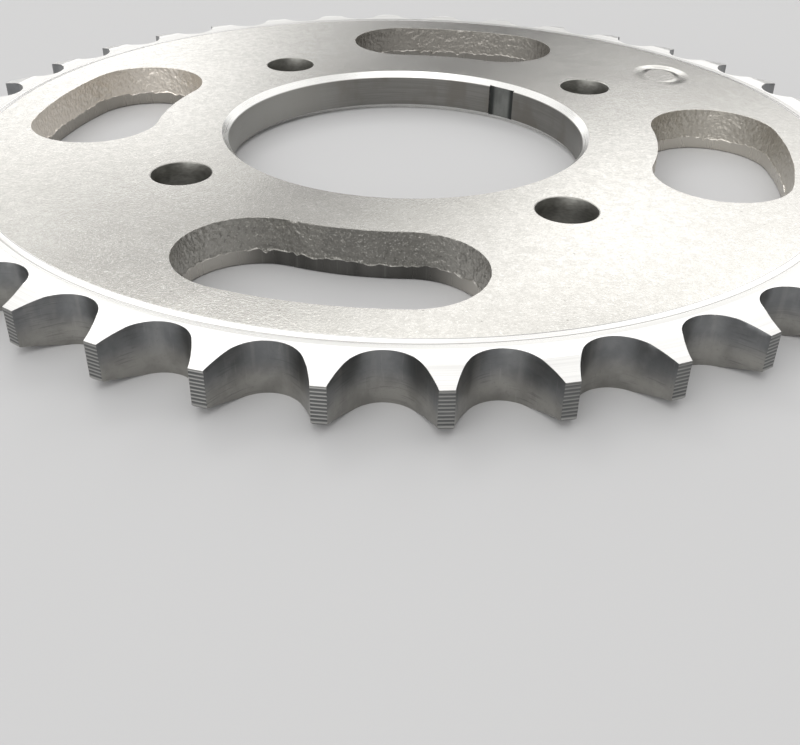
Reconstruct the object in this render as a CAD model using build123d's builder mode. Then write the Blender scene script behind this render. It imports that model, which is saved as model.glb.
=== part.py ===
from build123d import *
from math import cos, pi, radians, sin
import os

# Flat roller-chain sprocket for a small motorcycle's rear hub.
# Origin: on the axis, on the plane the part lies on. +Z: along the bore axis, upwards.

# chain
chain_pitch = 12.70
roller_diameter = 8.51
tooth_count = 36
tooth_phase = 4.18            # degrees from +X to a tooth's centre line

# tooth form
pitch_radius = chain_pitch / (2 * sin(pi / tooth_count))
root_radius = pitch_radius - roller_diameter / 2
outside_radius = 74.95
seat_radius = 0.505 * roller_diameter
seat_half_angle = 55.6        # degrees of seat arc to each side of the gap's centre line
flank_radius = 17.0           # hollow flank that carries the seat out to the tip land

# thicknesses, all heights from the underside
plate_top = 6.90
rim_top = 6.75

# tooth chamfers, turned before the gaps were cut
top_chamfer_radius = 71.2     # the tooth starts to thin here
top_chamfer_drop = 0.77
under_chamfer_radius = 70.4
under_chamfer_rise = 1.14

# shallow turned band where the plate face runs down to the rim
band_inner_radius = 66.5
band_outer_radius = 67.1
band_foot = 6.775
groove_inner_radius = 67.18
groove_outer_radius = 67.42
groove_bottom = 6.735
dish_outer_radius = 68.3      # very slightly hollow strip beside the groove
dish_bottom = 6.742

# bore
bore_radius = 28.5
bore_chamfer = 1.0
relief_width = 5.1            # shallow flat left in the bore wall
relief_depth = 0.15
relief_angle = 63.2

# bolt holes
bolt_circle_radius = 39.0
bolt_hole_radius = 4.3
bolt_hole_count = 4
bolt_hole_break = 0.2

# kidney slots
slot_count = 4
slot_inner_radius = 40.15
slot_outer_radius = 60.15
slot_half_angle = 11.3        # degrees from the slot's middle to the centre of its round end
slot_roll_over = 0.35         # rounded entry edge on the underside

# plain pressed oval ring on the upper face
mark_centre = (41.2, 38.4)
mark_half_width = 5.3
mark_half_length = 6.4
mark_ring_width = 2.8
mark_turn = 10.6              # degrees from +Y to the oval's long axis
mark_depth = 0.2

slot_mid_radius = (slot_inner_radius + slot_outer_radius) / 2
slot_width = slot_outer_radius - slot_inner_radius
seat_centre = root_radius + seat_radius

# points of one tooth gap, drawn along +X
seat_a = radians(seat_half_angle)
seat_end = (seat_centre - seat_radius * cos(seat_a), seat_radius * sin(seat_a))
flank_centre = (
    seat_centre + (flank_radius - seat_radius) * cos(seat_a),
    -(flank_radius - seat_radius) * sin(seat_a),
)
mouth_a = radians(seat_half_angle + 30)
mid_a = radians(seat_half_angle + 15)


def flank_point(a):
    return (flank_centre[0] - flank_radius * cos(a), flank_centre[1] + flank_radius * sin(a))


def mirrored(p):
    return (p[0], -p[1])


os.makedirs("parts", exist_ok=True)

with BuildSketch() as tooth_gap:
    with BuildLine():
        ThreePointArc(mirrored(seat_end), (root_radius, 0), seat_end)
        ThreePointArc(seat_end, flank_point(mid_a), flank_point(mouth_a))
        Line(flank_point(mouth_a), mirrored(flank_point(mouth_a)))
        ThreePointArc(mirrored(flank_point(mouth_a)), mirrored(flank_point(mid_a)), mirrored(seat_end))
    make_face()

with BuildSketch() as kidney:
    SlotArc(
        arc=CenterArc((0, 0), slot_mid_radius, -slot_half_angle, 2 * slot_half_angle),
        height=slot_width,
    )

with BuildPart() as sprocket:
    # turned blank: underside, tooth chamfers, rim, shallow band and plate face
    with BuildSketch(Plane.XZ):
        with BuildLine():
            Polyline(
                (0, 0),
                (under_chamfer_radius, 0),
                (outside_radius, under_chamfer_rise),
                (outside_radius, rim_top - top_chamfer_drop),
                (top_chamfer_radius, rim_top),
                (dish_outer_radius, rim_top),
                (groove_outer_radius, dish_bottom),
                (groove_outer_radius - 0.05, groove_bottom),
                (groove_inner_radius + 0.05, groove_bottom),
                (groove_inner_radius, band_foot),
                (band_outer_radius, band_foot),
                (band_inner_radius, plate_top),
                (0, plate_top),
                close=True,
            )
        make_face()
    revolve(axis=Axis.Z)

    # bore
    with BuildSketch(Plane.XY):
        Circle(bore_radius)
    extrude(amount=plate_top, mode=Mode.SUBTRACT)
    bore_edges = sprocket.edges().filter_by(GeomType.CIRCLE).filter_by(
        lambda e: abs(e.radius - bore_radius) < 0.01
    )
    chamfer(bore_edges, length=bore_chamfer)

    # bolt holes
    with BuildSketch(Plane.XY):
        with PolarLocations(bolt_circle_radius, bolt_hole_count, start_angle=45):
            Circle(bolt_hole_radius)
    extrude(amount=plate_top, mode=Mode.SUBTRACT)
    bolt_edges = sprocket.edges().filter_by(GeomType.CIRCLE).filter_by(
        lambda e: abs(e.radius - bolt_hole_radius) < 0.01
    )
    chamfer(bolt_edges, length=bolt_hole_break)

    # kidney slots
    with BuildSketch(Plane.XY):
        with PolarLocations(0, slot_count):
            add(kidney.sketch)
    extrude(amount=plate_top, mode=Mode.SUBTRACT)
    entry_edges = sprocket.faces().sort_by(Axis.Z)[0].edges().filter_by(
        lambda e: slot_inner_radius - 0.1
        < (e.position_at(0.5).X ** 2 + e.position_at(0.5).Y ** 2) ** 0.5
        < slot_outer_radius + 0.1
        and not (
            e.geom_type == GeomType.CIRCLE
            and abs(e.radius - bolt_hole_radius - bolt_hole_break) < 0.01
        )
    )
    fillet(entry_edges, radius=slot_roll_over)

    # tooth gaps
    with BuildSketch(Plane.XY):
        with PolarLocations(0, tooth_count, start_angle=tooth_phase + 180 / tooth_count):
            add(tooth_gap.sketch)
    extrude(amount=plate_top, mode=Mode.SUBTRACT)

    # shallow flat left in the bore wall
    with BuildSketch(Plane.XY):
        with PolarLocations(bore_radius, 1, start_angle=relief_angle):
            Rectangle(2 * relief_depth, relief_width)
    extrude(amount=plate_top, mode=Mode.SUBTRACT)

    # pressed ring
    with BuildSketch(Plane.XY.offset(plate_top)):
        with Locations(Location((*mark_centre, 0), (0, 0, mark_turn))):
            Ellipse(mark_half_width, mark_half_length)
            Ellipse(
                mark_half_width - mark_ring_width,
                mark_half_length - mark_ring_width,
                mode=Mode.SUBTRACT,
            )
    extrude(amount=-mark_depth, mode=Mode.SUBTRACT)

sprocket.part.label = "sprocket"
export_step(sprocket.part, "parts/sprocket.step")
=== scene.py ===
import math

import bpy
import numpy as np
from mathutils import Matrix, Vector
from mathutils.geometry import delaunay_2d_cdt


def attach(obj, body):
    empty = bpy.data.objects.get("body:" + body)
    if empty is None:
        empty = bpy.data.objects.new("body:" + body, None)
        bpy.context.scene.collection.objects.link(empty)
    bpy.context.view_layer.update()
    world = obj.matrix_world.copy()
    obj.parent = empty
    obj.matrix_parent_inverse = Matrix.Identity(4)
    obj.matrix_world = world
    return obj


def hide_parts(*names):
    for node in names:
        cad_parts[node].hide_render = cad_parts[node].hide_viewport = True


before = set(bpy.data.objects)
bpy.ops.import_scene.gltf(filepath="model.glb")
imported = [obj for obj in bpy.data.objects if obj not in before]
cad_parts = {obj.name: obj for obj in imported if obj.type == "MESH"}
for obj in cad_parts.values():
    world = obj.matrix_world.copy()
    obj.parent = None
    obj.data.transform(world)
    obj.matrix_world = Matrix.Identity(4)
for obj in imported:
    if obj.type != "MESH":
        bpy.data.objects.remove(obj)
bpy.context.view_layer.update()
MM = 0.001

# ---------------------------------------------------------------- dimensions, mm, as in the CAD node
TEETH, PHASE = 36, 4.18
PITCH, ROLLER = 12.70, 8.51
R_PITCH = PITCH / (2 * math.sin(math.pi / TEETH))
R_ROOT = R_PITCH - ROLLER / 2
R_TIP = 74.95
R_SEAT = 0.505 * ROLLER
SEAT_C = R_ROOT + R_SEAT
A_SEAT = math.radians(55.6)
R_FLANK = 17.0
PLATE_T, RIM_Z = 6.90, 6.75
R_CONE_TOP, CONE_DROP = 71.2, 0.77
R_CONE_UNDER, CONE_RISE = 70.4, 1.14
R_BORE, BORE_CH = 28.5, 1.0
RELIEF_W, RELIEF_D, RELIEF_A = 5.1, 0.15, 63.2
R_BOLTS, R_HOLE, HOLE_BREAK = 39.0, 4.3, 0.2
SLOT_RI, SLOT_RO, SLOT_HALF, SLOT_ROLL = 40.15, 60.15, math.radians(11.3), 0.35
MARK_C, MARK_A, MARK_B, MARK_W, MARK_D, MARK_TURN = (41.2, 38.4), 5.3, 6.4, 2.8, 0.2, math.radians(10.6)


def z_top(r):
    """Height of the rim's upper side: flat, then the tooth chamfer."""
    return RIM_Z - CONE_DROP * np.clip((r - R_CONE_TOP) / (R_TIP - R_CONE_TOP), 0, None)


def z_under(r):
    return CONE_RISE * np.clip((r - R_CONE_UNDER) / (R_TIP - R_CONE_UNDER), 0, None)


Z_LAND0, Z_LAND1 = float(z_under(R_TIP)), float(z_top(R_TIP))

(M_FACE, M_RIM, M_FLANK, M_LAND, M_TORN, M_SHEAR, M_BORE, M_RELIEF, M_STEP, M_HOLE) = range(10)


# ---------------------------------------------------------------- seeded noise, vectorised
def _hash(ix, iy, iz, seed):
    h = (
        ix.astype(np.int64) * 374761393
        + iy.astype(np.int64) * 668265263
        + iz.astype(np.int64) * 1442695041
        + seed * 974634777
    ) & 0xFFFFFFFF
    h = ((h ^ (h >> 13)) * 1274126177) & 0xFFFFFFFF
    h = ((h ^ (h >> 16)) * 2246822519) & 0xFFFFFFFF
    return ((h ^ (h >> 15)) & 0xFFFFFF) / float(0xFFFFFF)


def vnoise(x, y, z=0.0, seed=0):
    """Value noise in -1..1."""
    x, y, z = np.broadcast_arrays(*(np.asarray(t, float) for t in (x, y, z)))
    ix, iy, iz = np.floor(x), np.floor(y), np.floor(z)
    fx, fy, fz = x - ix, y - iy, z - iz
    fx, fy, fz = (t * t * (3 - 2 * t) for t in (fx, fy, fz))
    out = 0
    for dx in (0, 1):
        for dy in (0, 1):
            for dz in (0, 1):
                w = (
                    (fx if dx else 1 - fx)
                    * (fy if dy else 1 - fy)
                    * (fz if dz else 1 - fz)
                )
                out = out + w * _hash(ix + dx, iy + dy, iz + dz, seed)
    return out * 2 - 1


def fbm(x, y, z=0.0, seed=0, octaves=3):
    out, amp, f, total = 0, 1.0, 1.0, 0.0
    for k in range(octaves):
        out = out + amp * vnoise(
            np.asarray(x) * f, np.asarray(y) * f, np.asarray(z) * f, seed + 17 * k
        )
        total += amp
        amp *= 0.5
        f *= 2.07
    return out / total


def smooth(t):
    t = np.clip(t, 0, 1)
    return t * t * (3 - 2 * t)


# ---------------------------------------------------------------- shell builder
class Shell:
    """Collects faces as corner points with their own UVs, then joins equal points into one closed mesh."""

    def __init__(self):
        self.p, self.uv, self.n, self.mat = [], [], [], []

    def add(self, corners, uvs, mat):
        """corners: (faces, k, 3), uvs: (faces, k, 2), k is 3 or 4."""
        if len(corners) == 0:
            return
        self.p.append(np.asarray(corners, float))
        self.uv.append(np.asarray(uvs, float))
        self.n.append(corners.shape[1])
        self.mat.append(np.broadcast_to(np.asarray(mat), (len(corners),)).copy())

    def grid(self, pts, uv, mat, wrap=False):
        """pts: (levels, columns, 3). mat: one number, or one per row of faces."""
        if wrap:
            pts = np.concatenate([pts, pts[:, :1]], 1)
            if uv.shape[1] < pts.shape[1]:
                raise ValueError("a wrapped grid needs the UVs of its closing column")
        q = np.stack([pts[:-1, :-1], pts[:-1, 1:], pts[1:, 1:], pts[1:, :-1]], 2)
        w = np.stack([uv[:-1, :-1], uv[:-1, 1:], uv[1:, 1:], uv[1:, :-1]], 2)
        if np.ndim(mat):
            mat = np.repeat(np.asarray(mat), q.shape[1])
        self.add(q.reshape(-1, 4, 3), w.reshape(-1, 4, 2), mat)

    def zip(self, a, ua, ka, b, ub, kb, mat):
        """Triangles between two rows of points, a and b, in step with their rising keys."""
        i = j = 0
        tri, tuv = [], []
        while i < len(a) - 1 or j < len(b) - 1:
            step_a = j == len(b) - 1 or (
                i < len(a) - 1 and ka[i + 1] + ka[i] <= kb[j + 1] + kb[j]
            )
            if step_a:
                tri.append((a[i], a[i + 1], b[j]))
                tuv.append((ua[i], ua[i + 1], ub[j]))
                i += 1
            else:
                tri.append((a[i], b[j + 1], b[j]))
                tuv.append((ua[i], ub[j + 1], ub[j]))
                j += 1
        self.add(np.array(tri), np.array(tuv), mat)

    def mesh(self, name):
        flat = np.concatenate([p.reshape(-1, 3) for p in self.p])
        key = np.round(flat * 1e4).astype(np.int64)
        _, first, inverse = np.unique(key, axis=0, return_index=True, return_inverse=True)
        inverse = inverse.reshape(-1)
        verts = flat[first]
        faces, uvs, mats, at = [], [], [], 0
        for p, uv, k, m in zip(self.p, self.uv, self.n, self.mat):
            idx = inverse[at : at + len(p) * k].reshape(-1, k)
            at += len(p) * k
            for f, w, mm in zip(idx.tolist(), uv.tolist(), m.tolist()):
                keep = [c for c in range(k) if f[c] != f[c - 1]]
                if len({f[c] for c in keep}) < 3:
                    continue
                faces.append([f[c] for c in keep])
                uvs.append([w[c] for c in keep])
                mats.append(mm)
        me = bpy.data.meshes.new(name)
        me.from_pydata((verts * MM).tolist(), [], faces)
        me.polygons.foreach_set("material_index", np.array(mats, np.int32))
        layer = me.uv_layers.new(name="OFBake")
        layer.data.foreach_set("uv", np.array([c for w in uvs for c in w], np.float32).ravel())
        me.validate(verbose=False)
        return me


S = Shell()
UVS = 0.0045  # UV units for a millimetre of wall


def top_uv(p):
    p = np.asarray(p)
    return np.stack([0.335 + p[..., 0] * 0.65 / 151, 0.665 + p[..., 1] * 0.65 / 151], -1)


def under_uv(p):
    p = np.asarray(p)
    return np.stack([0.83 - p[..., 0] * 0.30 / 151, 0.84 + p[..., 1] * 0.30 / 151], -1)


def polar(r, a, z):
    r, a, z = np.broadcast_arrays(*(np.asarray(t, float) for t in (r, a, z)))
    return np.stack([r * np.cos(a), r * np.sin(a), z], -1)


def run_of(points):
    """Distance along a row of points."""
    d = np.linalg.norm(np.diff(points, axis=0), axis=1)
    return np.concatenate([[0], np.cumsum(d)])


# ---------------------------------------------------------------- one tooth gap, along +X
fc = np.array(
    [SEAT_C + (R_FLANK - R_SEAT) * math.cos(A_SEAT), -(R_FLANK - R_SEAT) * math.sin(A_SEAT)]
)


def flank_xy(a):
    return np.stack([fc[0] - R_FLANK * np.cos(a), fc[1] + R_FLANK * np.sin(a)], -1)


def flank_angle(radius):
    lo, hi = A_SEAT, A_SEAT + math.radians(35)
    for _ in range(60):
        mid = (lo + hi) / 2
        if np.hypot(*flank_xy(mid)) < radius:
            lo = mid
        else:
            hi = mid
    return (lo + hi) / 2


A_TIP = flank_angle(R_TIP)
tip_xy = flank_xy(A_TIP)
TIP_HALF = math.atan2(tip_xy[1], tip_xy[0])

n_flank, n_seat = 9, 18
fa = np.linspace(A_SEAT, A_TIP, n_flank + 1)[1:]
sa = np.linspace(-A_SEAT, A_SEAT, n_seat + 1)
seat = np.stack([SEAT_C - R_SEAT * np.cos(sa), R_SEAT * np.sin(sa)], -1)
fp = flank_xy(fa)
fm = fp[::-1] * [1, -1]
gap_xy = np.concatenate([fm, seat, fp])  # from the lower corner to the upper one
gap_n = np.concatenate(
    [
        ((fc - fp) / R_FLANK)[::-1] * [1, -1],
        (np.array([SEAT_C, 0]) - seat) / R_SEAT,
        (fc - fp) / R_FLANK,
    ]
)  # towards the open gap
gap_s = run_of(gap_xy)
GAP_LEN = gap_s[-1]


def turned(xy, a):
    c, s = math.cos(a), math.sin(a)
    return np.stack([xy[..., 0] * c - xy[..., 1] * s, xy[..., 0] * s + xy[..., 1] * c], -1)


# heights of the turned ridges on the tip lands
RIDGE_P, RIDGE_D = 0.47, 0.055
ridge_z = np.arange(Z_LAND0 + 0.34, Z_LAND1 - 0.14, RIDGE_P / 4)


def ridge(z):
    t = (z - Z_LAND0 - 0.34) / RIDGE_P
    t = t - np.floor(t)
    return -RIDGE_D * (1 - (2 * t - 1) ** 2)


def offset_point(base, n_f, n_r, d):
    """The corner moved by d into the flank and by d into the tip cylinder."""
    return base + np.linalg.solve(np.array([n_f, n_r]), [-d, -d])


gaps = []
centres = [math.radians(PHASE + 5.0 + 10.0 * i) for i in range(TEETH)]
inner = slice(1, -1)
for i, g in enumerate(centres):
    xy, nv = turned(gap_xy, g), turned(gap_n, g)
    rad = np.hypot(xy[:, 0], xy[:, 1])
    up = smooth((rad - R_ROOT) / (R_TIP - R_ROOT))
    s = gap_s
    u0 = 0.012 + (i % 9) * (GAP_LEN + 2.4) * UVS
    v0 = 0.012 + (i // 9) * (RIM_Z + 0.9) * UVS
    # broken and rolled edges
    bb = 0.07 + 0.13 * up + 0.03 * vnoise(s * 1.3, i, 3.1, 5) * up
    rag = np.clip(vnoise(s * 2.3, i * 7.7, 0.5, 11), 0, 1) ** 2
    bt = 0.024 + 0.014 * (vnoise(s * 0.9, i * 3.3, 0.0, 7) + 1) + 0.06 * rag
    lo_z, hi_z = z_under(rad), z_top(rad)
    levels_z, levels_d = [], []
    for dz, dd in ((0.30, 0.30), (1.0, 0.0)):
        levels_z.append(lo_z + bb * dz)
        levels_d.append(-bb * dd)
    band = 0.47 + 0.035 * vnoise(s * 0.35, i * 1.7, 0.0, 21) + 0.015 * vnoise(s * 1.1, i * 2.9, 0, 22)
    for f in (0.17, 0.32, None, 0.60, 0.74, 0.88):
        zz = lo_z + (hi_z - lo_z) * (band if f is None else f)
        levels_z.append(zz)
        wave = 0.010 * vnoise(s * 0.55, zz * 0.25, i * 5.1, 31) + 0.004 * vnoise(
            s * 1.9, zz * 0.15, i * 4.7, 32
        )
        levels_d.append(wave - (0.012 if (f or 0) > 0.5 else 0.0))
    levels_z.append(hi_z - bt)
    levels_d.append(-0.012 + 0.0 * s)
    wall = []
    for zz, dd in zip(levels_z, levels_d):
        p = xy + nv * np.asarray(dd)[:, None]
        wall.append(np.concatenate([p, zz[:, None]], 1))
    for edge, height, at in ((bb, z_under, 0), (bt, z_top, len(wall) + 1)):
        p = xy - nv * edge[:, None]
        wall.insert(at, np.concatenate([p, height(np.hypot(p[:, 0], p[:, 1]))[:, None]], 1))
    wall = np.array(wall)  # (levels, columns, 3)
    uv = np.stack([u0 + np.broadcast_to(s * UVS, wall.shape[:2]), v0 + wall[..., 2] * UVS], -1)
    S.grid(wall[:, inner], uv[:, inner], M_FLANK)
    # the two corners carry the ridges' profile
    corner_cols = {}
    for side, col in ((-1, 0), (1, len(s) - 1)):
        base, n_f = xy[col], nv[col]
        n_r = base / rad[col]
        # unit step down the flank
        t_in = np.array([-n_f[1], n_f[0]])
        if t_in @ n_r > 0:
            t_in = -t_in
        fall = -(t_in @ n_r)
        b = bb[col]
        pts = []
        for d in (b, 0.30 * b):
            p = offset_point(base, n_f, n_r, d)
            pts.append((*p, float(z_under(np.hypot(*p))) + b - d if d < b else float(z_under(np.hypot(*p)))))
        pts.append((*base, Z_LAND0 + b))
        for z in ridge_z:
            pts.append((*(base + t_in * (-ridge(z) / fall)), z))
        pts.append((*base, Z_LAND1 - bt[col]))
        p = offset_point(base, n_f, n_r, bt[col])
        pts.append((*p, float(z_top(np.hypot(*p)))))
        pts = np.array(pts)
        corner_cols[side] = pts
        near = 1 if side < 0 else len(s) - 2
        cuv = np.stack([np.full(len(pts), u0 + s[col] * UVS), v0 + pts[:, 2] * UVS], 1)
        if side < 0:
            S.zip(pts, cuv, pts[:, 2], wall[:, near], uv[:, near], wall[:, near, 2], M_FLANK)
        else:
            S.zip(wall[:, near], uv[:, near], wall[:, near, 2], pts, cuv, pts[:, 2], M_FLANK)
    gaps.append(dict(cols=corner_cols, bb=bb, bt=bt, wall=wall, u0=u0, v0=v0))

# tip lands, between gap i's upper corner and gap i+1's lower corner
land_a = math.radians(10) - 2 * TIP_HALF
for i in range(TEETH):
    here, there = gaps[i], gaps[(i + 1) % TEETH]
    a0 = centres[i] + TIP_HALF
    n_cols = 4
    rows = [here["cols"][1]]
    for k in range(1, n_cols):
        t = k / n_cols
        b = (1 - t) * here["bb"][-1] + t * there["bb"][0]
        tt = (1 - t) * here["bt"][-1] + t * there["bt"][0]
        prof = [
            (R_TIP - b, float(z_under(R_TIP - b))),
            (R_TIP - 0.30 * b, float(z_under(R_TIP - 0.30 * b)) + 0.7 * b),
            (R_TIP, Z_LAND0 + b),
        ]
        prof += [(R_TIP + ridge(z), z) for z in ridge_z]
        prof += [(R_TIP, Z_LAND1 - tt), (R_TIP - tt, float(z_top(R_TIP - tt)))]
        prof = np.array(prof)
        rows.append(polar(prof[:, 0], a0 + land_a * t, prof[:, 1]))
    rows.append(there["cols"][-1])
    land = np.stack(rows, 1)
    across = np.linspace(0, R_TIP * land_a, n_cols + 1)
    uu = here["u0"] + (GAP_LEN + 0.35 + across) * UVS
    uv = np.stack([np.broadcast_to(uu, land.shape[:2]), here["v0"] + land[..., 2] * UVS], -1)
    S.grid(land, uv, M_LAND)
    here["land"] = land


def rim_loop(level):
    """The rim's outline at its top (-1) or underside (0), once round."""
    out = []
    for gap in gaps:
        out.append(gap["cols"][-1][level])
        out += list(gap["wall"][level, inner])
        out.append(gap["cols"][1][level])
        out += list(gap["land"][level, 1:-1])
    return np.array(out)


RING = 576
ring_a = math.radians(PHASE + 5.0) - math.pi + np.arange(RING + 1) * 2 * math.pi / RING


def rim_side(level, height, crease, r_ring, uv_of, mat_flat):
    """The rim between its outline and a plain circle. Returns that circle and its angles."""
    loop = rim_loop(level)
    ang = np.unwrap(np.arctan2(loop[:, 1], loop[:, 0]))
    loop = np.concatenate([loop, loop[:1]])
    ang = np.concatenate([ang, [ang[0] + 2 * math.pi]])
    rad = np.hypot(loop[:, 0], loop[:, 1])
    flat = np.minimum(rad, crease)
    near = np.maximum(r_ring + 0.06, flat - 0.18)
    radii = [
        np.full_like(rad, r_ring + 0.06),
        near,
        flat,
        flat + np.minimum(0.18, (rad - flat) * 0.3),
        flat + (rad - flat) * 0.6,
        rad,
    ]
    rows = []
    for r in radii:
        row = polar(r, ang, height(r))
        hit = r >= rad - 1e-9
        row[hit] = loop[hit]
        row[-1] = row[0]
        rows.append(row)
    pts = np.array(rows)
    S.grid(pts, uv_of(pts), np.array([mat_flat] * 2 + [M_RIM] * 3))
    ra = ring_a + (ang[0] - ring_a[0])
    ring = polar(r_ring, ra, height(np.full_like(ra, r_ring)))
    ring[-1] = ring[0]
    S.zip(pts[0], uv_of(pts[0]), ang, ring, uv_of(ring), ra, mat_flat)
    return ring, ra


# upper side: rim, then the shallow turned band up to the plate face
BAND = np.array(
    [
        (68.30, 6.750), (68.05, 6.747), (67.75, 6.744), (67.46, 6.742), (67.40, 6.737),
        (67.34, 6.735), (67.26, 6.737), (67.20, 6.747), (67.14, 6.764), (67.08, 6.776),
        (67.01, 6.788), (66.87, 6.818), (66.70, 6.858), (66.57, 6.883), (66.45, 6.896), (66.32, 6.900),
    ]
)
ring, ra = rim_side(-1, z_top, R_CONE_TOP, BAND[0][0], top_uv, M_RIM)
band = polar(BAND[:, 0][:, None], ra[None, :], BAND[:, 1][:, None])
band[0] = ring
band[:, -1] = band[:, 0]
S.grid(band, top_uv(band), M_STEP)
plate_edge_top = band[-1, :-1]

# underside: one flat face as far as the chamfer under the teeth
ring, _ = rim_side(0, z_under, R_CONE_UNDER, 68.30, under_uv, M_FACE)
plate_edge_under = ring[:-1]

# ---------------------------------------------------------------- bore
half = math.asin(RELIEF_W / 2 / R_BORE)
ra_c = math.radians(RELIEF_A)
base_a = ra_c + half + np.linspace(0, 2 * math.pi - 2 * half, 560)
flat_a = np.linspace(-half, half, 21)
bore_a = np.concatenate([base_a, ra_c + 2 * math.pi + flat_a])
floor_r = (R_BORE + RELIEF_D) / np.cos(flat_a)
floor_r = floor_r + 0.02 * vnoise(flat_a * 40, 0.3, 0.0, 91)
bore_w = np.concatenate([np.full(len(base_a), R_BORE), floor_r])
R_CH = R_BORE + BORE_CH
lv_r = [
    np.full_like(bore_w, R_CH),
    np.full_like(bore_w, R_BORE + 0.72),
    np.full_like(bore_w, R_BORE + 0.45),
    np.maximum(bore_w, R_BORE + 0.2),
]
lv_z = [PLATE_T - (R_CH - r) for r in lv_r]
for z in (PLATE_T - BORE_CH, PLATE_T - BORE_CH - 0.25, PLATE_T / 2):
    lv_r.append(bore_w)
    lv_z.append(np.full_like(bore_w, z))
for k in (5, 4, 3, 2, 1, 0):
    lv_r.append(lv_r[k])
    lv_z.append(PLATE_T - lv_z[k])
bore = polar(np.array(lv_r), bore_a[None, :], np.array(lv_z))
bore = np.concatenate([bore, bore[:, :1]], 1)
prof = run_of(np.array([(lv_r[k][0], lv_z[k][0]) for k in range(len(lv_r))]))
full_a = np.concatenate([bore_a, [base_a[0] + 2 * math.pi]])
uv = np.stack(
    [
        np.broadcast_to(0.02 + (full_a - full_a[0]) / (2 * math.pi) * 0.86, bore.shape[:2]),
        np.broadcast_to(0.232 + prof[:, None] * UVS, bore.shape[:2]),
    ],
    -1,
)
k0 = len(base_a)
S.grid(bore[:, : k0 + 1], uv[:, : k0 + 1], M_BORE)
rows = len(lv_r) - 1
S.grid(bore[:, k0:-1], uv[:, k0:-1], np.array([M_BORE] * 3 + [M_RELIEF] * (rows - 6) + [M_BORE] * 3))
S.grid(bore[:, -2:], uv[:, -2:], M_BORE)
bore_top, bore_under = bore[0, :-1], bore[-1, :-1]


def no_repeats(loop):
    keep = np.linalg.norm(loop - np.roll(loop, 1, 0), axis=1) > 1e-4
    return loop[keep]


bore_top, bore_under = no_repeats(bore_top), no_repeats(bore_under)

# ---------------------------------------------------------------- bolt holes
hole_top, hole_under = [], []
for k in range(4):
    c = polar(R_BOLTS, math.radians(45 + 90 * k), 0.0)
    a = np.linspace(0, 2 * math.pi, 73)
    prof = np.array(
        [
            (R_HOLE + HOLE_BREAK, PLATE_T),
            (R_HOLE + 0.06, PLATE_T - 0.07),
            (R_HOLE, PLATE_T - HOLE_BREAK),
            (R_HOLE, PLATE_T * 0.66),
            (R_HOLE, PLATE_T * 0.33),
            (R_HOLE, HOLE_BREAK),
            (R_HOLE + 0.06, 0.07),
            (R_HOLE + HOLE_BREAK, 0.0),
        ]
    )
    pts = polar(prof[:, 0][:, None], a[None, :], prof[:, 1][:, None])
    pts[:, -1] = pts[:, 0]
    pts = pts + [c[0], c[1], 0]
    uv = np.stack(
        [
            np.broadcast_to(0.02 + k * 0.14 + a * R_HOLE * UVS, pts.shape[:2]),
            np.broadcast_to(0.274 + run_of(prof)[:, None] * UVS, pts.shape[:2]),
        ],
        -1,
    )
    S.grid(pts, uv, M_HOLE)
    hole_top.append(pts[0, :-1])
    hole_under.append(pts[-1, :-1])


# ---------------------------------------------------------------- kidney slots
def kidney_outline():
    rm, rw = (SLOT_RI + SLOT_RO) / 2, (SLOT_RO - SLOT_RI) / 2
    pts, nrm = [], []
    a = np.linspace(-SLOT_HALF, SLOT_HALF, 85)[:-1]
    pts.append(np.stack([SLOT_RO * np.cos(a), SLOT_RO * np.sin(a)], 1))
    nrm.append(-np.stack([np.cos(a), np.sin(a)], 1))
    for sign in (1, -1):
        e = SLOT_HALF * sign
        c = rm * np.array([math.cos(e), math.sin(e)])
        b = np.linspace(0, math.pi, 107)[:-1] + (e if sign > 0 else e + math.pi)
        d = np.stack([np.cos(b), np.sin(b)], 1)
        pts.append(c + rw * d)
        nrm.append(-d)
        if sign > 0:
            a = np.linspace(SLOT_HALF, -SLOT_HALF, 57)[:-1]
            pts.append(np.stack([SLOT_RI * np.cos(a), SLOT_RI * np.sin(a)], 1))
            nrm.append(np.stack([np.cos(a), np.sin(a)], 1))
    return np.concatenate(pts), np.concatenate(nrm)


k_xy, k_n = kidney_outline()
k_s = run_of(np.concatenate([k_xy, k_xy[:1]]))
K_LEN = k_s[-1]
k_s = k_s[:-1]


def ring_noise(s, scale, z, seed, octaves=1):
    """Noise along a closed run of length K_LEN, with no seam."""
    a = s / K_LEN * 2 * math.pi
    r = K_LEN / (2 * math.pi) / scale
    if octaves > 1:
        return fbm(r * np.cos(a), r * np.sin(a), z, seed, octaves)
    return vnoise(r * np.cos(a), r * np.sin(a), z, seed)


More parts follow.
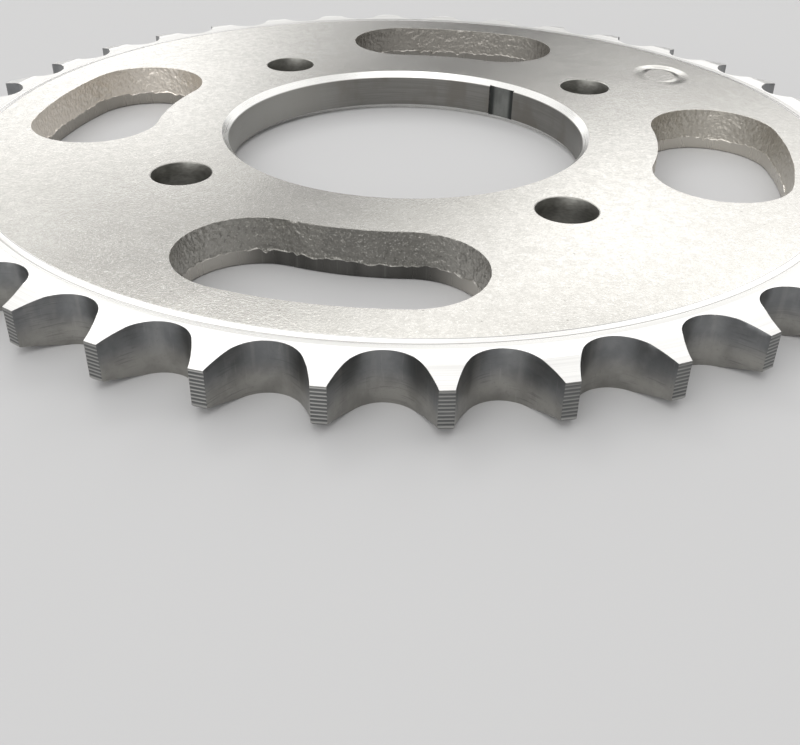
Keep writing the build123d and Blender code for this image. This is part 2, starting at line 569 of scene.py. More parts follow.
slot_top, slot_under = [], []
for q in range(4):
    g = q * math.pi / 2
    xy, nv = turned(k_xy, g), turned(k_n, g)
    sd = 100 + 13 * q
    b = SLOT_ROLL * (1 + 0.15 * ring_noise(k_s, 3.0, 0.0, sd))
    zb = (
        2.12
        + 0.26 * ring_noise(k_s, 9.0, 0.0, sd + 1)
        + 0.15 * ring_noise(k_s, 1.4, 0.0, sd + 2)
        + 0.20 * ring_noise(k_s, 0.66, 0.0, sd + 3)
    )
    notch = np.clip(ring_noise(k_s, 1.1, 4.0, sd + 4) - 0.45, 0, 1)
    zb = zb - 0.9 * notch
    burr = np.clip(ring_noise(k_s, 0.5, 0.0, sd + 5), 0, 1) ** 2
    bt = 0.03 + 0.015 * (ring_noise(k_s, 2.0, 9.0, sd + 6) + 1) + 0.07 * burr
    shear = 0.055 + 0.012 * ring_noise(k_s, 1.2, 0.0, sd + 7)
    Z, D, M = [], [], []
    for ang in (0, 30, 60, 90):
        t = math.radians(ang)
        Z.append(b * (1 - math.cos(t)))
        D.append(shear - b * (1 - math.sin(t)))
        M.append(M_SHEAR)
    for f in (0.4, 0.75):
        Z.append(b + (zb - 0.05 - b) * f)
        D.append(shear + 0.006 * ring_noise(k_s, 0.9, f * 3, sd + 8))
        M.append(M_SHEAR)
    Z.append(zb - 0.035)
    lip = 0.20 * np.clip(ring_noise(k_s, 2.6, 2.0, sd + 9), 0, 1) * np.clip(ring_noise(k_s, 0.6, 2.0, sd + 16) + 0.1, 0, 1)
    D.append(shear + lip)
    M.append(M_SHEAR)
    Z.append(zb + 0.01)
    D.append(shear + lip * 0.4 - 0.04)
    M.append(M_TORN)
    steps = 16
    for m in range(steps):
        f = (m + 0.35) / steps
        zz = zb + 0.03 + (PLATE_T - bt - zb - 0.03) * f
        rough = (
            0.045 * ring_noise(k_s, 2.1, zz / 1.3, sd + 11)
            + 0.055 * ring_noise(k_s, 0.95, zz / 0.55, sd + 12)
            + 0.060 * ring_noise(k_s, 0.50, zz / 0.36, sd + 13)
        )
        pit = -0.16 * np.clip(ring_noise(k_s, 0.95, zz / 0.55, sd + 14) - 0.5, 0, 1)
        fade = smooth((PLATE_T - zz) / 0.5) * 0.75 + 0.25
        D.append((rough + pit) * fade - 0.01 - 0.03 * (1 - f) ** 2)
        Z.append(zz)
        M.append(M_TORN)
    Z.append(PLATE_T - bt)
    D.append(0.03 * ring_noise(k_s, 0.6, 7.0, sd + 15) - 0.005)
    M.append(M_TORN)
    Z.append(np.full_like(k_s, PLATE_T))
    D.append(-bt * 0.9 + 0.03 * ring_noise(k_s, 0.6, 7.0, sd + 15) - 0.005)
    wall = np.array(
        [
            np.concatenate([xy + nv * np.asarray(d)[:, None], np.asarray(z)[:, None]], 1)
            for z, d in zip(Z, D)
        ]
    )
    closed = np.concatenate([wall, wall[:, :1]], 1)
    ss = np.concatenate([k_s, [K_LEN]])
    uv = np.stack(
        [
            np.broadcast_to((0.012 if q % 2 == 0 else 0.505) + ss * UVS, closed.shape[:2]),
            (0.156 if q < 2 else 0.194) + closed[..., 2] * UVS,
        ],
        -1,
    )
    S.grid(closed, uv, np.array(M))
    slot_under.append(wall[0])
    slot_top.append(wall[-1])

# ---------------------------------------------------------------- pressed oval ring on the upper face
a = np.linspace(0, 2 * math.pi, 97)
MARK_PROFILE = np.array(
    # share of the ring's width from its outer edge, share of its depth
    [
        (0.00, 0.0), (0.06, 0.02), (0.15, 0.10), (0.32, 0.40), (0.48, 0.74),
        (0.60, 0.95), (0.67, 1.0), (0.74, 0.93), (0.87, 0.40), (1.0, 0.0),
    ]
)
# struck a little askew, so one side is deeper
depth = MARK_D * (0.5 + 0.5 * np.cos(a - 0.95))
w = MARK_PROFILE[:, 0][:, None] * MARK_W
mx, my = (MARK_A - w) * np.cos(a), (MARK_B - w) * np.sin(a)
pts = np.stack(
    [
        MARK_C[0] + mx * math.cos(MARK_TURN) - my * math.sin(MARK_TURN),
        MARK_C[1] + mx * math.sin(MARK_TURN) + my * math.cos(MARK_TURN),
        PLATE_T - MARK_PROFILE[:, 1][:, None] * depth[None, :],
    ],
    -1,
)
pts[:, -1] = pts[:, 0]
S.grid(pts, top_uv(pts), M_FACE)
mark_out, mark_in = pts[0, :-1], pts[-1, :-1]


# ---------------------------------------------------------------- plate faces
def in_poly(px, py, poly):
    x0, y0 = poly[:, 0], poly[:, 1]
    x1, y1 = np.roll(x0, -1), np.roll(y0, -1)
    inside = np.zeros(len(px), bool)
    for ax, ay, bx, by in zip(x0, y0, x1, y1):
        hit = (ay > py) != (by > py)
        with np.errstate(divide="ignore", invalid="ignore"):
            xx = (bx - ax) * (py - ay) / (by - ay) + ax
        inside ^= hit & (px < xx)
    return inside


def plate_face(z, outer, holes, islands, uv_of):
    """Fills the flat face between the outer loop and the holes. islands are rings: (outer loop, inner loop)."""
    loops = [outer, *holes]
    for o, n in islands:
        loops += [o, n]
    pts, edges = [], []
    for loop in loops:
        k = len(pts)
        pts += [tuple(p[:2]) for p in loop]
        edges += [(k + t, k + (t + 1) % len(loop)) for t in range(len(loop))]
    # loose points inside, so that no triangle spans the whole plate
    grid = []
    step = 2.6
    for row in range(-27, 28):
        for col in range(-27, 28):
            x = (col + 0.5 * (row % 2)) * step
            y = row * step * 0.866
            grid.append((x, y))
    grid = np.array(grid)
    ok = np.hypot(grid[:, 0], grid[:, 1]) < np.hypot(*outer[0][:2]) - 1.2
    ok &= np.hypot(grid[:, 0], grid[:, 1]) > R_CH + 0.9
    everything = np.array([p[:2] for loop in loops for p in loop])
    for t in range(0, len(grid), 200):
        d = np.linalg.norm(grid[t : t + 200, None] - everything[None], axis=2).min(1)
        ok[t : t + 200] &= d > 0.8
    pts += [tuple(p) for p in grid[ok]]
    verts, _, faces, origin, _, _ = delaunay_2d_cdt(
        [Vector(p) for p in pts], edges, [], 0, 1e-7
    )
    # the exact input points, so that the face welds to the walls around it
    verts = np.array([pts[o[0]] if o else tuple(v) for v, o in zip(verts, origin)])
    faces = np.array([f for f in faces if len(f) == 3])
    tri = verts[faces]
    c = tri.mean(1)
    keep = in_poly(c[:, 0], c[:, 1], outer)
    for h in holes:
        keep &= ~in_poly(c[:, 0], c[:, 1], h)
    for o, n in islands:
        keep &= ~(in_poly(c[:, 0], c[:, 1], o) & ~in_poly(c[:, 0], c[:, 1], n))
    tri = tri[keep]
    tri = np.concatenate([tri, np.full((*tri.shape[:2], 1), z)], 2)
    S.add(tri, uv_of(tri), M_FACE)


plate_face(PLATE_T, plate_edge_top, [bore_top, *hole_top, *slot_top], [(mark_out, mark_in)], top_uv)
plate_face(0.0, plate_edge_under, [bore_under, *hole_under, *slot_under], [], under_uv)

# ---------------------------------------------------------------- mesh
me = S.mesh("sprocket_detail")
sprocket = bpy.data.objects.new("sprocket_detail", me)
bpy.context.scene.collection.objects.link(sprocket)

import bmesh

bm = bmesh.new()
bm.from_mesh(me)
bmesh.ops.recalc_face_normals(bm, faces=bm.faces)
if bm.calc_volume(signed=True) < 0:
    bmesh.ops.reverse_faces(bm, faces=bm.faces)
open_edges = sum(1 for e in bm.edges if not e.is_manifold)
bm.to_mesh(me)
print(
    "sprocket_detail: vertices", len(bm.verts), "faces", len(bm.faces),
    "triangles", sum(len(f.verts) - 2 for f in bm.faces),
    "open edges", open_edges, "volume mm3", round(bm.calc_volume() * 1e9, 1),
)
bm.free()
me.polygons.foreach_set("use_smooth", np.ones(len(me.polygons), bool))
me.set_sharp_from_angle(angle=math.radians(32))
# level faces are truly flat: they take no shading from the broken edges around them
facing = np.zeros(len(me.polygons) * 3, np.float32)
me.polygons.foreach_get("normal", facing)
me.polygons.foreach_set("use_smooth", np.abs(facing.reshape(-1, 3)[:, 2]) < 0.99999)
me.update()


# ---------------------------------------------------------------- material nodes
class Tree:
    def __init__(self, name):
        self.mat = bpy.data.materials.new(name)
        self.mat.use_nodes = True
        self.nt = self.mat.node_tree
        self.nt.nodes.clear()
        self.out = self.nt.nodes.new("ShaderNodeOutputMaterial")
        self.bsdf = self.nt.nodes.new("ShaderNodeBsdfPrincipled")
        self.nt.links.new(self.bsdf.outputs[0], self.out.inputs[0])
        self.coord = self.nt.nodes.new("ShaderNodeTexCoord").outputs["Object"]
        self.sep = self.nt.nodes.new("ShaderNodeSeparateXYZ")
        self.nt.links.new(self.coord, self.sep.inputs[0])
        self.x, self.y, self.z = (self.sep.outputs[k] for k in range(3))

    def put(self, socket, value):
        if isinstance(value, bpy.types.NodeSocket):
            self.nt.links.new(value, socket)
        elif value is not None:
            socket.default_value = value

    def math(self, op, a, b=None, c=None, clamp=False):
        n = self.nt.nodes.new("ShaderNodeMath")
        n.operation = op
        n.use_clamp = clamp
        for k, v in enumerate((a, b, c)):
            if v is not None:
                self.put(n.inputs[k], v)
        return n.outputs[0]

    def vec(self, x, y, z):
        n = self.nt.nodes.new("ShaderNodeCombineXYZ")
        for k, v in enumerate((x, y, z)):
            self.put(n.inputs[k], v)
        return n.outputs[0]

    def scaled(self, v, s):
        n = self.nt.nodes.new("ShaderNodeVectorMath")
        n.operation = "MULTIPLY"
        self.put(n.inputs[0], v)
        n.inputs[1].default_value = s
        return n.outputs[0]

    def radius(self):
        xx = self.math("MULTIPLY", self.x, self.x)
        return self.math("SQRT", self.math("MULTIPLY_ADD", self.y, self.y, xx))

    def angle(self):
        return self.math("ARCTAN2", self.y, self.x)

    def noise(self, vector, scale, detail=2.0, rough=0.5, distort=0.0, dims="3D"):
        n = self.nt.nodes.new("ShaderNodeTexNoise")
        n.noise_dimensions = dims
        self.put(n.inputs["Vector"], vector)
        n.inputs["Scale"].default_value = scale
        n.inputs["Detail"].default_value = detail
        n.inputs["Roughness"].default_value = rough
        n.inputs["Distortion"].default_value = distort
        return n.outputs[0]

    def voronoi(self, vector, scale, feature="F1", rand=1.0):
        n = self.nt.nodes.new("ShaderNodeTexVoronoi")
        n.feature = feature
        self.put(n.inputs["Vector"], vector)
        n.inputs["Scale"].default_value = scale
        n.inputs["Randomness"].default_value = rand
        return n.outputs["Distance"]

    def ramp(self, fac, lo, hi, a=0.0, b=1.0, kind="SMOOTHSTEP"):
        n = self.nt.nodes.new("ShaderNodeMapRange")
        n.interpolation_type = kind
        self.put(n.inputs["Value"], fac)
        n.inputs["From Min"].default_value = lo
        n.inputs["From Max"].default_value = hi
        self.put(n.inputs["To Min"], a)
        self.put(n.inputs["To Max"], b)
        return n.outputs["Result"]

    def mix(self, fac, a, b):
        n = self.nt.nodes.new("ShaderNodeMix")
        n.data_type = "RGBA"
        self.put(n.inputs["Factor"], fac)
        self.put(n.inputs["A"], (*a, 1) if isinstance(a, tuple) else a)
        self.put(n.inputs["B"], (*b, 1) if isinstance(b, tuple) else b)
        return n.outputs["Result"]

    def bump(self, height, strength, distance, under=None):
        n = self.nt.nodes.new("ShaderNodeBump")
        self.put(n.inputs["Height"], height)
        n.inputs["Strength"].default_value = strength
        n.inputs["Distance"].default_value = distance
        if under is not None:
            self.put(n.inputs["Normal"], under)
        return n.outputs[0]

    def rotated(self, vector, deg):
        n = self.nt.nodes.new("ShaderNodeMapping")
        self.put(n.inputs["Vector"], vector)
        n.inputs["Rotation"].default_value = (0, 0, math.radians(deg))
        return n.outputs[0]

    def scratches(self, deg, along, across, lo, hi):
        """Sparse fine lines at one direction, 0..1."""
        v = self.rotated(self.coord, deg)
        warp = self.noise(self.coord, 90.0, 1.0)
        s = self.nt.nodes.new("ShaderNodeVectorMath")
        s.operation = "MULTIPLY"
        self.put(s.inputs[0], v)
        s.inputs[1].default_value = (along, across, 50.0)
        a = self.nt.nodes.new("ShaderNodeVectorMath")
        a.operation = "ADD"
        self.put(a.inputs[0], s.outputs[0])
        self.put(a.inputs[1], self.vec(0.0, self.math("MULTIPLY", warp, 2.2), 0.0))
        return self.ramp(self.noise(a.outputs[0], 1.0, 1.0), lo, hi)


def metal(t, colour, rough, normal=None, aniso=0.0, rotation=0.0):
    b = t.bsdf
    b.inputs["Metallic"].default_value = 1.0
    t.put(b.inputs["Base Color"], colour)
    t.put(b.inputs["Roughness"], rough)
    if normal is not None:
        t.put(b.inputs["Normal"], normal)
    if aniso:
        b.inputs["Anisotropic"].default_value = aniso
        b.inputs["Anisotropic Rotation"].default_value = rotation
        tan = t.nt.nodes.new("ShaderNodeTangent")
        tan.direction_type = "RADIAL"
        tan.axis = "Z"
        t.nt.links.new(tan.outputs[0], b.inputs["Tangent"])
    return t.mat


def face_steel():
    t = Tree("steel_face")
    cloud = t.noise(t.coord, 60.0, 2.0, 0.6)
    coarse = t.noise(t.coord, 1100.0, 2.0, 0.6)
    mottle = t.noise(t.coord, 330.0, 3.0, 0.6)
    grain = t.noise(t.coord, 3000.0, 3.0, 0.7)
    s1 = t.scratches(24, 70.0, 5200.0, 0.66, 0.75)
    s2 = t.scratches(-38, 60.0, 4600.0, 0.67, 0.77)
    s3 = t.scratches(81, 90.0, 6200.0, 0.66, 0.76)
    lines = t.math("MAXIMUM", t.math("MAXIMUM", s1, s2), s3)
    base = t.mix(t.ramp(cloud, 0.35, 0.68), (0.536, 0.524, 0.496), (0.561, 0.551, 0.523))
    base = t.mix(t.ramp(mottle, 0.42, 0.62, 0.0, 0.25), base, (0.465, 0.454, 0.424))
    base = t.mix(t.ramp(coarse, 0.38, 0.62, 0.0, 0.35), base, (0.440, 0.429, 0.400))
    base = t.mix(t.ramp(grain, 0.34, 0.46, 0.30, 0.0), base, (0.38, 0.371, 0.345))
    base = t.mix(t.ramp(grain, 0.55, 0.67, 0.0, 0.48), base, (0.74, 0.73, 0.705))
    pits = t.ramp(t.voronoi(t.coord, 560.0), 0.04, 0.13, 1.0, 0.0)
    pits = t.math("MULTIPLY", pits, t.ramp(t.noise(t.coord, 160.0, 2.0), 0.50, 0.62))
    base = t.mix(t.math("MULTIPLY", pits, 0.6), base, (0.24, 0.23, 0.21))
    base = t.mix(t.math("MULTIPLY", lines, 0.07), base, (0.72, 0.71, 0.69))
    rough = t.ramp(t.math("ADD", t.math("MULTIPLY", cloud, 0.4), t.math("MULTIPLY", coarse, 0.6)), 0.3, 0.7, 0.17, 0.22)
    n = t.bump(t.math("ADD", t.math("MULTIPLY", grain, 0.9), t.math("MULTIPLY", coarse, 0.20)), 0.38, 0.00004)
    n = t.bump(t.math("SUBTRACT", t.math("MULTIPLY", lines, -0.16), pits), 0.30, 0.000012, n)
    return metal(t, base, rough, n)


def rim_steel(name="steel_rim"):
    t = Tree(name)
    r, a = t.radius(), t.angle()
    ring = t.vec(t.math("MULTIPLY", r, 4200.0), t.math("MULTIPLY", a, 2.0), t.math("MULTIPLY", t.z, 40.0))
    fine = t.noise(ring, 1.0, 2.0, 0.7)
    wide = t.noise(t.vec(t.math("MULTIPLY", r, 1300.0), t.math("MULTIPLY", a, 3.0), 0.0), 1.0, 2.0, 0.6)
    base = t.mix(t.ramp(fine, 0.38, 0.62), (0.78, 0.775, 0.76), (0.86, 0.855, 0.84))
    # painted shade: the rim's low-x side, to the left as seen, is given a duller tone
    side = t.math("MULTIPLY", t.ramp(t.x, -0.052, -0.012, 0.85, 0.0), t.ramp(r, 0.0700, 0.0716, 1.0, 0.0))
    base = t.mix(side, base, (0.61, 0.605, 0.59))
    base = t.mix(t.ramp(wide, 0.56, 0.80, 0.0, 0.35), base, (0.56, 0.555, 0.54))
    rough = t.ramp(fine, 0.3, 0.7, 0.32, 0.38)
    h = t.math("ADD", t.math("MULTIPLY", fine, 1.0), t.math("MULTIPLY", wide, 0.5))
    n = t.bump(h, 0.15, 0.00001)
    return metal(t, base, rough, n, aniso=0.5, rotation=0.0)


def step_steel():
    t = Tree("steel_step")
    r, a = t.radius(), t.angle()
    ring = t.vec(t.math("MULTIPLY", r, 4200.0), t.math("MULTIPLY", a, 3.0), t.math("MULTIPLY", t.z, 3000.0))
    fine = t.noise(ring, 1.0, 2.0, 0.7)
    base = t.mix(t.ramp(fine, 0.35, 0.65), (0.88, 0.87, 0.855), (0.94, 0.93, 0.915))
    # the strip next to the rim was left a little duller by the tool
    dull = t.math("MULTIPLY", t.math("GREATER_THAN", r, 0.06744), t.math("LESS_THAN", r, 0.06829))
    base = t.mix(dull, base, (0.60, 0.595, 0.58))
    # painted shade: dark lines where the slope leaves the plate face, and in the groove
    painted_crease_shade = t.math("LESS_THAN", t.math("ABSOLUTE", t.math("SUBTRACT", r, 0.06643)), 0.00009)
    painted_crease_shade = t.math("MAXIMUM", painted_crease_shade, t.math("LESS_THAN", t.math("ABSOLUTE", t.math("SUBTRACT", r, 0.06730)), 0.00010))
    base = t.mix(t.math("MULTIPLY", painted_crease_shade, 0.85), base, (0.28, 0.275, 0.265))
    rough = t.ramp(fine, 0.3, 0.7, 0.26, 0.34)
    n = t.bump(fine, 0.15, 0.00001)
    return metal(t, base, rough, n, aniso=0.4)


def flank_steel():
    t = Tree("steel_flank")
    # faint axial streaks follow the outline, so they are read across the flank and hardly along the axis
    st = t.noise(t.scaled(t.coord, (1.0, 1.0, 0.10)), 520.0, 2.0, 0.55)
    stf = t.noise(t.scaled(t.coord, (1.0, 1.0, 0.08)), 2600.0, 2.0, 0.6)
    blot = t.noise(t.coord, 330.0, 3.0, 0.6)
    grain = t.noise(t.coord, 3400.0, 2.0, 0.6)
    # painted reflection and shade: each flank's lower part is lighter and its upper part darker; the dark base tones
    # are partly the steel's own darker finish and partly painted shade
    edge = t.math("ADD", t.z, t.math("MULTIPLY", t.math("SUBTRACT", t.noise(t.coord, 300.0, 2.0), 0.5), 0.0016))
    painted_upper_shade = t.ramp(edge, 0.0018, 0.0048)
    low = t.mix(t.ramp(blot, 0.35, 0.65), (0.310, 0.303, 0.284), (0.395, 0.386, 0.362))
    top = t.mix(t.ramp(blot, 0.35, 0.65), (0.205, 0.211, 0.216), (0.262, 0.268, 0.271))
    base = t.mix(painted_upper_shade, low, top)
    base = t.mix(t.ramp(st, 0.52, 0.70, 0.0, 0.25), base, (0.46, 0.45, 0.43))
    base = t.mix(t.ramp(stf, 0.60, 0.76, 0.0, 0.18), base, (0.52, 0.51, 0.49))
    base = t.mix(t.ramp(grain, 0.58, 0.74, 0.0, 0.22), base, (0.16, 0.16, 0.16))
    # short level drag marks; on the part they are thickest at mid height, here they are spread evenly
    drag = t.noise(t.scaled(t.coord, (1.0, 1.0, 22.0)), 240.0, 2.0, 0.6)
    drag = t.math("MULTIPLY", t.ramp(drag, 0.54, 0.68), t.ramp(t.noise(t.coord, 190.0, 1.0), 0.46, 0.60))
    base = t.mix(t.math("MULTIPLY", drag, 0.34), base, (0.13, 0.13, 0.135))
    nick = t.ramp(t.voronoi(t.coord, 420.0), 0.03, 0.10, 1.0, 0.0)
    nick = t.math("MULTIPLY", nick, t.ramp(t.noise(t.coord, 240.0, 1.0), 0.58, 0.64))
    base = t.mix(t.math("MULTIPLY", nick, 0.7), base, (0.70, 0.69, 0.67))
    rough = t.ramp(t.math("ADD", t.math("MULTIPLY", st, 0.4), t.math("MULTIPLY", blot, 0.6)), 0.3, 0.7, 0.30, 0.42)
    n = t.bump(t.math("ADD", t.math("MULTIPLY", stf, 0.25), t.math("MULTIPLY", blot, 0.6)), 0.25, 0.00005)
    n = t.bump(nick, 0.6, 0.00005, n)
    return metal(t, base, rough, n)


def land_steel():
    t = Tree("steel_land")
    ring = t.vec(t.math("MULTIPLY", t.z, 5200.0), t.math("MULTIPLY", t.angle(), 30.0), 0.0)
    fine = t.noise(ring, 1.0, 2.0, 0.7)
    r = t.radius()
    # painted shade: the bottoms of the turned grooves are darker than the crests
    painted_groove_shade = t.ramp(r, (R_TIP - RIDGE_D) * MM, (R_TIP - 0.004) * MM)
    base = t.mix(painted_groove_shade, (0.135, 0.139, 0.139), (0.41, 0.407, 0.393))
    base = t.mix(t.ramp(fine, 0.4, 0.7, 0.0, 0.3), base, (0.30, 0.30, 0.29))
    rough = t.ramp(fine, 0.3, 0.7, 0.30, 0.40)
    n = t.bump(fine, 0.3, 0.00003)
    return metal(t, base, rough, n)


def slot_painted_light(t):
    """Painted light and reflection: 1 in three slots and at the ends of the fourth, which are given lighter tones by
    where they stand.
    """
    left = t.ramp(t.x, -0.038, -0.032, 1.0, 0.0)
    right = t.ramp(t.x, 0.032, 0.038)
    back = t.ramp(t.y, 0.032, 0.038)
    front = t.ramp(t.y, -0.038, -0.032, 1.0, 0.0)
    ends = t.math("MULTIPLY", front, t.ramp(t.math("ABSOLUTE", t.x), 0.0095, 0.0190))
    return left, right, back, front, ends


def torn_steel():
    t = Tree("steel_torn")
    left, right, back, front, ends = slot_painted_light(t)
    big = t.noise(t.coord, 220.0, 2.0, 0.6)
    mid = t.noise(t.coord, 1250.0, 3.0, 0.7)
    fine = t.noise(t.coord, 3400.0, 2.0, 0.7)
    cells = t.voronoi(t.coord, 1500.0)
    # painted light and shade: the dark base stands partly for shade, and the slot masks lighten three slots and the
    # ends of the fourth
    base = t.mix(t.ramp(big, 0.35, 0.65), (0.265, 0.259, 0.240), (0.325, 0.317, 0.293))
    base = t.mix(t.math("MULTIPLY", ends, 0.85), base, (0.58, 0.565, 0.53))
    base = t.mix(t.math("MULTIPLY", back, 0.5), base, (0.50, 0.470, 0.430))
    base = t.mix(t.math("MULTIPLY", right, 0.9), base, (0.62, 0.590, 0.535))
    base = t.mix(t.math("MULTIPLY", left, 0.9), base, (0.93, 0.875, 0.800))
    base = t.mix(t.ramp(mid, 0.54, 0.70, 0.0, t.math("MULTIPLY_ADD", front, 0.38, 0.10)), base, (0.15, 0.145, 0.133))
    base = t.mix(t.ramp(fine, 0.56, 0.72, 0.0, t.math("MULTIPLY_ADD", front, 0.50, 0.08)), base, (0.85, 0.83, 0.79))
    rough = t.ramp(mid, 0.3, 0.7, 0.36, 0.50)
    h = t.math("ADD", t.math("MULTIPLY", mid, 1.0), t.math("MULTIPLY", cells, 0.7))
    n = t.bump(h, 0.9, 0.00018)
    n = t.bump(fine, 0.6, 0.00006, n)
    return metal(t, base, rough, n)


def shear_steel():
    t = Tree("steel_shear")
    left, right, back, front, ends = slot_painted_light(t)
    st = t.noise(t.scaled(t.coord, (1.0, 1.0, 0.05)), 1300.0, 3.0, 0.6)
    slow = t.noise(t.scaled(t.coord, (1.0, 1.0, 0.2)), 200.0, 2.0, 0.6)
    # painted light and shade: the very dark base stands partly for shade, and the slot masks lighten three slots and
    # the ends of the fourth
    base = t.mix(t.ramp(slow, 0.35, 0.65), (0.100, 0.098, 0.092), (0.145, 0.142, 0.134))
    base = t.mix(t.math("MULTIPLY", ends, 0.85), base, (0.70, 0.675, 0.625))
    base = t.mix(t.math("MULTIPLY", back, 0.6), base, (0.45, 0.430, 0.395))
    base = t.mix(t.math("MULTIPLY", right, 0.9), base, (0.66, 0.630, 0.575))
    base = t.mix(t.math("MULTIPLY", left, 0.6), base, (0.60, 0.570, 0.520))
    base = t.mix(t.ramp(st, 0.55, 0.72, 0.0, 0.14), base, (0.50, 0.49, 0.47))
    rough = t.ramp(st, 0.3, 0.7, 0.26, 0.34)
    n = t.bump(st, 0.12, 0.00002)
    return metal(t, base, rough, n)


def bore_steel():
    t = Tree("steel_bore")
    r, a = t.radius(), t.angle()
    turn = t.noise(t.vec(t.math("MULTIPLY", t.z, 4200.0), t.math("MULTIPLY", a, 3.0), t.math("MULTIPLY", r, 4200.0)), 1.0, 2.0, 0.7)
    blot = t.noise(t.scaled(t.coord, (1.0, 1.0, 0.5)), 190.0, 3.0, 0.6)
    # painted shade and light: the dark base stands partly for the dark surroundings the wall mirrors, and the low-x
    # side is given a lighter tone
    base = t.mix(t.ramp(turn, 0.35, 0.65), (0.210, 0.206, 0.193), (0.252, 0.247, 0.233))
    base = t.mix(t.ramp(blot, 0.44, 0.62, 0.0, 0.75), base, (0.195, 0.183, 0.165))
    base = t.mix(t.ramp(t.x, -0.026, -0.012, 0.75, 0.0), base, (0.46, 0.455, 0.430))
    # the cone at each mouth is given a far lighter tone, a painted highlight, and a smoother finish
    cone = t.ramp(r, (R_BORE + 0.02) * MM, (R_BORE + 0.15) * MM)
    cone = t.math("MULTIPLY", cone, t.math("LESS_THAN", r, 0.0297))
    base = t.mix(cone, base, (0.93, 0.925, 0.905))
    rough = t.math("SUBTRACT", t.ramp(turn, 0.3, 0.7, 0.30, 0.40), t.math("MULTIPLY", cone, 0.06))
    n = t.bump(turn, 0.08, 0.00002)
    return metal(t, base, rough, n, aniso=0.25)


def hole_steel():
    t = Tree("steel_hole")
    drill = t.noise(t.scaled(t.coord, (1.0, 1.0, 3.0)), 1500.0, 2.0, 0.6)
    blot = t.noise(t.coord, 420.0, 2.0, 0.6)
    base = t.mix(t.ramp(drill, 0.35, 0.65), (0.330, 0.327, 0.305), (0.430, 0.425, 0.400))
    base = t.mix(t.ramp(blot, 0.45, 0.65, 0.0, 0.4), base, (0.26, 0.255, 0.236))
    rough = t.ramp(drill, 0.3, 0.7, 0.36, 0.48)
    n = t.bump(drill, 0.3, 0.00004)
    return metal(t, base, rough, n)


def relief_steel():
    t = Tree("steel_relief")
    big = t.noise(t.scaled(t.coord, (1.0, 1.0, 0.4)), 420.0, 3.0, 0.6)
    fine = t.noise(t.coord, 2600.0, 2.0, 0.6)
    # painted shade: the dark base stands partly for the dark surroundings the flat mirrors
    base = t.mix(t.ramp(big, 0.35, 0.65), (0.17, 0.176, 0.168), (0.24, 0.247, 0.236))
    # painted shade: darker still towards the two sides of the flat, beside its low side walls
    c, s = math.cos(math.radians(RELIEF_A)), math.sin(math.radians(RELIEF_A))
    across = t.math("ABSOLUTE", t.math("SUBTRACT", t.math("MULTIPLY", t.y, c), t.math("MULTIPLY", t.x, s)))
    base = t.mix(t.ramp(across, 0.0012, 0.0020, 0.0, 0.85), base, (0.025, 0.027, 0.027))
    rough = t.ramp(fine, 0.3, 0.7, 0.40, 0.55)
    n = t.bump(fine, 0.5, 0.00005)
    return metal(t, base, rough, n)


for build in (
    face_steel, rim_steel, flank_steel, land_steel, torn_steel,
    shear_steel, bore_steel, relief_steel, step_steel, hole_steel,
):
    me.materials.append(build())

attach(sprocket, "root")
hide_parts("sprocket")

# ---------------------------------------------------------------- floor and light
fm_ = bpy.data.meshes.new("floor")
w = 1.6
fm_.from_pydata([(-w, -w, 0), (w, -w, 0), (w, w, 0), (-w, w, 0)], [], [(0, 1, 2, 3)])
floor = bpy.data.objects.new("floor", fm_)
bpy.context.scene.collection.objects.link(floor)
ft = bpy.data.materials.new("floor_pale")
ft.use_nodes = True
fb = ft.node_tree.nodes["Principled BSDF"]
fb.inputs["Base Color"].default_value = (0.56, 0.56, 0.565, 1)
fb.inputs["Roughness"].default_value = 0.85
fm_.materials.append(ft)

# camera, placed against the object as in the photograph; distances in mm from the axis and the rim's upper side
VIEW_TURN = math.radians(10.561)  # the camera stands this much round +Z from the front
CAM = dict(dh=157.37, h=55.70, yaw=-0.0010, pitch=math.radians(33.378), roll=math.radians(-1.123), f=997.7)
cy, sy = math.cos(CAM["yaw"]), math.sin(CAM["yaw"])
cp, sp = math.cos(CAM["pitch"]), math.sin(CAM["pitch"])
cr, sr = math.cos(CAM["roll"]), math.sin(CAM["roll"])
fwd = Vector((sy * cp, cy * cp, -sp))
right = Vector((cy, -sy, 0))
down = fwd.cross(right)
r2 = cr * right + sr * down
d2 = -sr * right + cr * down
eye = Vector((0, -CAM["dh"], CAM["h"] + RIM_Z)) * MM
turn = Matrix.Rotation(VIEW_TURN, 4, "Z")
basis = Matrix((r2, -d2, -fwd)).transposed().to_4x4()
cam_data = bpy.data.cameras.new("camera")
cam_data.sensor_width = 36.0
cam_data.lens = CAM["f"] / 800 * 36
cam_data.clip_start = 0.005
cam_data.clip_end = 10
cam = bpy.data.objects.new("camera", cam_data)
bpy.context.scene.collection.objects.link(cam)
cam.matrix_world = turn @ Matrix.Translation(eye) @ basis
bpy.context.scene.camera = cam


def toward(azimuth, elevation):
    """Unit vector. Azimuth 0 is behind the object as the camera sees it, 90 to its right."""
    a, e = math.radians(azimuth), math.radians(elevation)
    return turn.to_3x3() @ Vector((math.sin(a) * math.cos(e), math.cos(a) * math.cos(e), math.sin(e)))


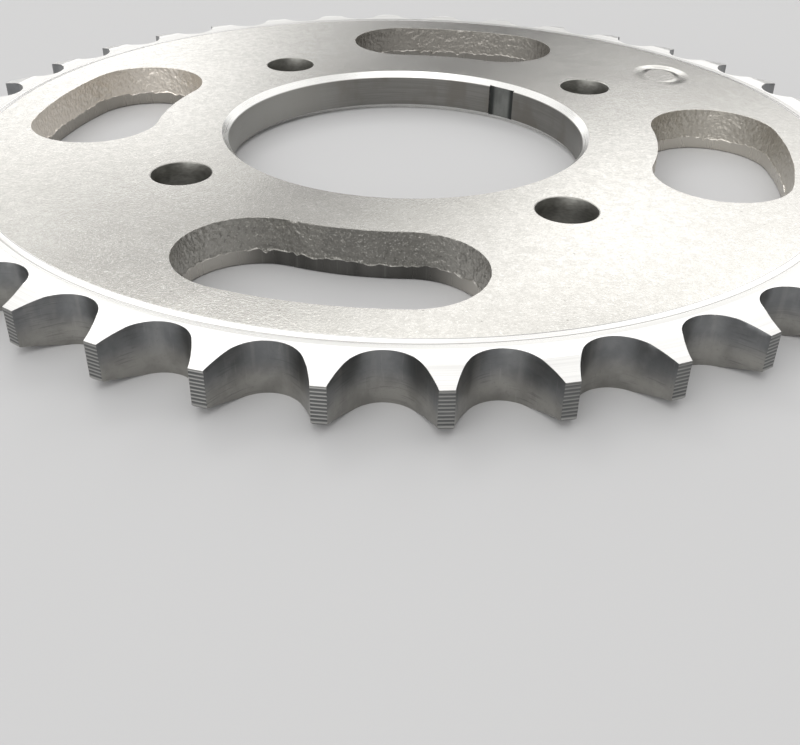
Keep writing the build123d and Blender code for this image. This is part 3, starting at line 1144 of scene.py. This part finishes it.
# the studio: a dim even surround and soft boxes round it, set so that the face shades as in the photograph
SURROUND = 0.015
PATCHES = (
    # azimuth, elevation, sharpness, strength
    (-6, 3, 240, 0.35), (0, 3, 240, 2.05), (-6, 7, 240, 0.43),
    (-6, 11, 240, 0.16), (-30, 15, 240, 2.08), (-18, 15, 240, 1.83),
    (-12, 15, 240, 0.96), (-6, 15, 240, 0.42), (30, 15, 240, 1.62),
    (-24, 19, 240, 1.25), (-12, 19, 240, 0.70), (24, 19, 240, 0.76),
    (12, 23, 240, 1.38), (18, 23, 240, 1.31), (24, 23, 240, 0.17),
    (0, 27, 240, 0.11), (6, 27, 240, 0.99), (12, 27, 240, 0.72),
    (0, 31, 240, 1.11), (6, 31, 240, 0.17), (24, 31, 240, 0.61),
    (30, 31, 240, 2.69), (0, 35, 240, 0.22), (24, 35, 240, 2.31),
    (-24, 39, 240, 5.56), (-18, 39, 240, 1.47), (-12, 39, 240, 2.62),
    (-6, 39, 240, 1.48), (6, 39, 240, 0.98), (-48, 36, 25, 0.55),
    (45, 30, 25, 0.56), (-20, 48, 20, 0.34), (60, 55, 8, 0.80),
    (-60, 55, 8, 0.75), (0, 70, 8, 0.60), (-150, 30, 6, 2.25),
    (180, 66, 20, 1.90), (80, 40, 15, 0.35), (0, -90, 3, 0.90),
)
world = bpy.data.worlds.new("studio")
bpy.context.scene.world = world
world.use_nodes = True
nt = world.node_tree
nt.nodes.clear()


def sky_math(op, a, b=None):
    n = nt.nodes.new("ShaderNodeMath")
    n.operation = op
    for k, v in enumerate((a, b)):
        if isinstance(v, bpy.types.NodeSocket):
            nt.links.new(v, n.inputs[k])
        elif v is not None:
            n.inputs[k].default_value = v
    return n.outputs[0]


wo = nt.nodes.new("ShaderNodeOutputWorld")
bg = nt.nodes.new("ShaderNodeBackground")
nt.links.new(bg.outputs[0], wo.inputs[0])
tc = nt.nodes.new("ShaderNodeTexCoord")
level = SURROUND
for azimuth, elevation, sharp, strength in PATCHES:
    dot = nt.nodes.new("ShaderNodeVectorMath")
    dot.operation = "DOT_PRODUCT"
    nt.links.new(tc.outputs["Generated"], dot.inputs[0])
    dot.inputs[1].default_value = toward(azimuth, elevation)
    rise = sky_math("MULTIPLY_ADD", dot.outputs["Value"], sharp)
    rise.node.inputs[2].default_value = -sharp
    level = sky_math("ADD", sky_math("MULTIPLY", sky_math("EXPONENT", rise), strength), level)
bg.inputs["Color"].default_value = (1.0, 0.995, 0.985, 1)
nt.links.new(level, bg.inputs["Strength"])

bpy.context.scene.view_settings.view_transform = "Standard"
bpy.context.scene.view_settings.look = "None"
